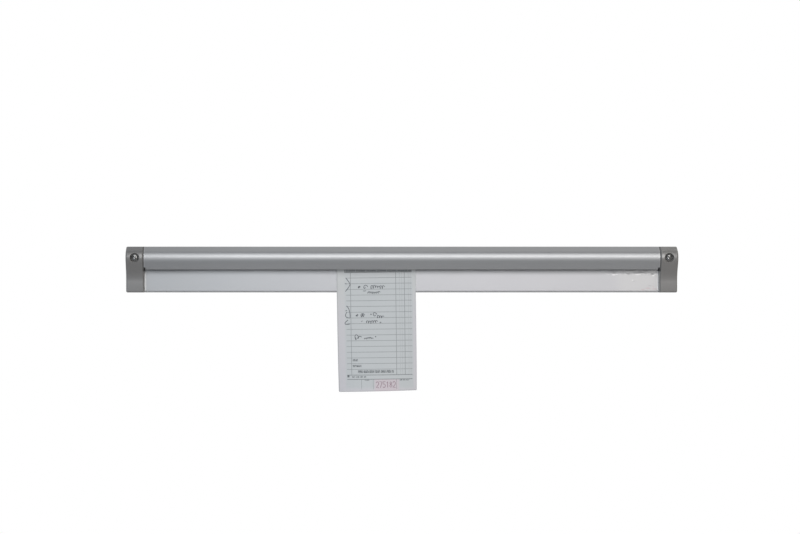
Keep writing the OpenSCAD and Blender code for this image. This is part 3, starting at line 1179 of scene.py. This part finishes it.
def scrawl(u, v, length, height, loops, seed):
    """A meaningless pen squiggle that starts u across the ticket and runs level, v down it."""
    rng = random.Random(seed)
    sizes = [rng.uniform(*LOOP_SIZES) for _ in range(loops + 1)]
    leans = [rng.uniform(*LOOP_LEANS) for _ in range(loops + 1)]
    points = []
    steps = loops * LOOP_STEPS
    for k in range(steps + 1):
        t = k / steps
        size = sizes[int(t * loops)]
        lean = leans[int(t * loops)]
        swing = 2 * math.pi * loops * t
        rise = height * 0.5 * size * math.sin(swing)
        points.append(Vector((
            u + length * t + height * LOOP_WIDTH * math.cos(swing) - lean * rise,
            v + rise + LINE_SWAY * math.sin(7 * t + seed),
        )))
    return points


# The photograph's camera stood left of the rail's middle and square to the wall
CAMERA_PLACE = (-0.082, -2.662, -0.01025)
CAMERA_LENS = 107.88
CAMERA_SHIFT = 0.0905


def camera():
    data = bpy.data.cameras.new("camera")
    data.sensor_width = 36
    data.lens = CAMERA_LENS
    data.shift_x = CAMERA_SHIFT
    data.clip_start = 0.05
    data.clip_end = 50
    made = bpy.data.objects.new("camera", data)
    made.location = CAMERA_PLACE
    made.rotation_euler = (math.radians(90), 0, 0)
    bpy.context.scene.collection.objects.link(made)
    bpy.context.scene.camera = made


def softbox(place, target, size, power, tint):
    """A soft lamp that faces a target and stays out of the picture."""
    data = bpy.data.lights.new("lamp", "AREA")
    data.shape = "RECTANGLE"
    data.size, data.size_y = size
    data.energy = power
    data.color = tint
    made = bpy.data.objects.new("lamp", data)
    made.location = place
    made.rotation_euler = (Vector(target) - Vector(place)).to_track_quat("-Z", "Y").to_euler()
    made.visible_camera = False
    bpy.context.scene.collection.objects.link(made)


# Each row of lamps: its height over the rail as an angle at the rail, the length of its halves and its
# power in watts for each metre of that length
LAMPS = ((10, 1.5, 12.4), (20, 0.8, 8.8), (30, 1.5, 5.7), (50, 1.5, 6.6), (110, 1.5, 1.5))
LAMP_DISTANCE = 2.2
LAMP_HEIGHT = 0.75
COOL = (0.965, 0.985, 1.0)
WARM = (1.0, 0.985, 0.97)


def light():
    """Rows of soft lamps on an arch over the rail, each row in a cool left and a warm right half."""
    for degrees, length, power in LAMPS:
        rise = math.radians(degrees)
        for side, tint in ((-1, COOL), (1, WARM)):
            x = side * length / 2
            place = (x, -LAMP_DISTANCE * math.cos(rise), LAMP_DISTANCE * math.sin(rise))
            softbox(place, (x, 0, 0), (length, LAMP_HEIGHT), power * length / 2, tint)


# Where each change in the surroundings starts and ends, by how far a direction points right or back
ROOM_TURN = (-0.3, 0.35)
BACK_TURN = (0.15, 0.75)
WHITE_TURN = (0.55, 0.95)
LEFT_ROOM = colour(0.335, 0.375, 0.435)
RIGHT_ROOM = colour(0.395, 0.377, 0.355)
BACK_ROOM = grey(0.85)


def world():
    """White to the camera, dim in front of the rail and brighter behind it to everything else."""
    scene_world = bpy.data.worlds.new("studio")
    bpy.context.scene.world = scene_world
    f = Finish(scene_world)
    x, y, _ = f.axes(f.node("TexCoord", output="Generated"))
    seen = f.node("LightPath", output="Is Camera Ray")
    glossy = f.node("LightPath", output="Is Glossy Ray")
    through_glass = f.node("LightPath", output="Is Transmission Ray")
    white = seen | ((glossy + through_glass) * f.smooth(y, *WHITE_TURN))
    before = f.mix(f.smooth(x, *ROOM_TURN), LEFT_ROOM, RIGHT_ROOM)
    room = f.mix(f.smooth(y, *BACK_TURN), before, BACK_ROOM)
    tone = f.mix(white, room, grey(1))
    back = f.node("Background", None, {"Color": tone, "Strength": 1.0})
    f.node("OutputWorld", None, {"Surface": back})


FLOOR_RADIUS = 1.5
FLOOR_CLEAR_FROM = 0.7
FLOOR_DROP = 1.2


def floor():
    """A pale disc under the rail, soft at its rim, that can be looked through from below."""
    mesh = bmesh.new()
    bmesh.ops.create_circle(mesh, cap_ends=True, segments=96, radius=FLOOR_RADIUS)
    bmesh.ops.translate(mesh, verts=mesh.verts, vec=(0, 0, -FLOOR_DROP))
    made = piece("floor", mesh)
    f = material("pale_floor")
    x, y, _ = f.axes(f.place())
    rim = f.smooth((x * x + y * y).root(), FLOOR_CLEAR_FROM, FLOOR_RADIUS)
    pale = f.node("BsdfDiffuse", None, {"Color": grey(0.7)})
    clear = f.node("BsdfTransparent")
    under = f.node("NewGeometry", output="Backfacing")
    seen = f.node("MixShader", None, {0: under | rim, 1: pale, 2: clear})
    f.node("OutputMaterial", None, {"Surface": seen})
    made.data.materials.append(f.owner)


# The strokes of the stamped digits, as shares of a digit's width and height
DIGITS = {
    "1": [(0.2, 0.8), (0.55, 1), (0.55, 0)],
    "2": [(0, 0.8), (0.3, 1), (0.7, 1), (1, 0.75), (0.85, 0.5), (0, 0), (1, 0)],
    "5": [(0.95, 1), (0.1, 1), (0.05, 0.58), (0.6, 0.62), (1, 0.4), (0.85, 0.08), (0.4, 0), (0, 0.12)],
    "7": [(0, 1), (1, 1), (0.35, 0)],
    "8": [(0.5, 0.54), (0.12, 0.75), (0.5, 1), (0.88, 0.75), (0.5, 0.54), (0, 0.25), (0.5, 0), (1, 0.25),
          (0.5, 0.54)],
}
NUMBER = "275182"
NUMBER_LEFT = 42
NUMBER_FOOT = 4.1
DIGIT_HEIGHT = 6.4
DIGIT_WIDTH = DIGIT_HEIGHT * 0.45
DIGIT_PITCH = 3.75
STAMP_WIDTH = 0.62
PEN_WIDTH = 0.72


def stamped_strokes():
    """The stamped number's strokes, as places across the ticket and down it."""
    strokes = []
    for k, digit in enumerate(NUMBER):
        origin = Vector((NUMBER_LEFT + k * DIGIT_PITCH, TICKET_LENGTH - NUMBER_FOOT))
        strokes.append([origin + Vector((a * DIGIT_WIDTH, -b * DIGIT_HEIGHT)) for a, b in DIGITS[digit]])
    return strokes


# Long pen strokes down the ticket's left margin, as places across it and down it
MARGIN_STROKES = (
    ((10.1, 29.2), (13.0, 33.1), (14.8, 36.7), (12.6, 40.7), (9.6, 44.4)),
    ((9.2, 35.7), (11.2, 36.1)),
    ((10.7, 60.2), (13.1, 64.0), (14.2, 68.8), (14.3, 73.5)),
    ((10.6, 67.5), (9.2, 71.0), (10.8, 73.2), (14.2, 74.0)),
    ((12.0, 76.0), (8.7, 79.0), (9.8, 81.0), (14.3, 80.4)),
    ((9.3, 65.9), (11.0, 65.5)),
)
# Short marks and written squiggles: place across and down, length, height and number of loops
SQUIGGLES = (
    (24.0, 39.7, 1.7, 2.0, 2),
    (30.3, 39.5, 2.6, 6.6, 1),
    (37.4, 39.9, 15.0, 3.6, 6),
    (28.9, 44.1, 3.4, 1.0, 1),
    (34.1, 46.2, 13.4, 3.0, 6),
    (21.1, 71.2, 1.6, 2.0, 2),
    (26.5, 71.0, 3.2, 4.2, 2),
    (37.1, 70.2, 0.9, 1.0, 1),
    (40.5, 70.2, 2.2, 7.2, 1),
    (44.1, 73.0, 7.0, 3.6, 3),
    (26.8, 77.7, 0.9, 0.9, 1),
    (31.8, 78.5, 12.4, 3.2, 5),
    (47.1, 79.5, 1.4, 0.9, 1),
    (29.3, 96.7, 10.0, 1.9, 5),
    (41.8, 95.0, 0.9, 0.9, 1),
    (19.0, 95.4, 6.4, 5.6, 2),
)


def dress_ticket():
    dress(ticket_sheet(), ticket_paper(), "ticket", "ticket_paper", "order_ticket")
    pen = pen_ink("pen_ink", colour(0.05, 0.055, 0.065), colour(0.15, 0.16, 0.175))
    strokes = [curved([Vector(point) for point in stroke]) for stroke in MARGIN_STROKES]
    for seed, (u, v, length, height, loops) in enumerate(SQUIGGLES):
        strokes.append(scrawl(u, v, length, height, loops, seed))
    dress(ribbons("pen_marks", strokes, PEN_WIDTH), pen, "ticket", "ticket_paper")
    red = pen_ink("stamp_ink", colour(0.17, 0.085, 0.12), colour(0.29, 0.18, 0.225))
    dress(ribbons("stamped_number", stamped_strokes(), STAMP_WIDTH), red, "ticket", "ticket_paper")


def dress_rail():
    metal = anodised_aluminium()
    dress(rail(metal), metal, "rail", "anodised_aluminium", "rail_extrusion")
    plastic = moulded_plastic()
    steel = plated_steel()
    for word, side, turn in (("left", -1, -36), ("right", 1, -42)):
        dress(end_cap(f"moulded_cap_{word}", side), plastic, "rail", "grey_plastic", f"end_cap_{word}")
        made = screw(f"cross_screw_{word}", side * SCREW_X, turn)
        dress(made, steel, "rail", "plated_steel", f"wall_screw_{word}")


def dress_marbles():
    glass = marble_glass()
    for name in MARBLES:
        dress(marble(name), glass, name, "marble_glass", name)


bpy.context.scene.view_settings.view_transform = "Standard"
camera()
world()
light()
floor()
dress_rail()
dress_marbles()
dress_ticket()
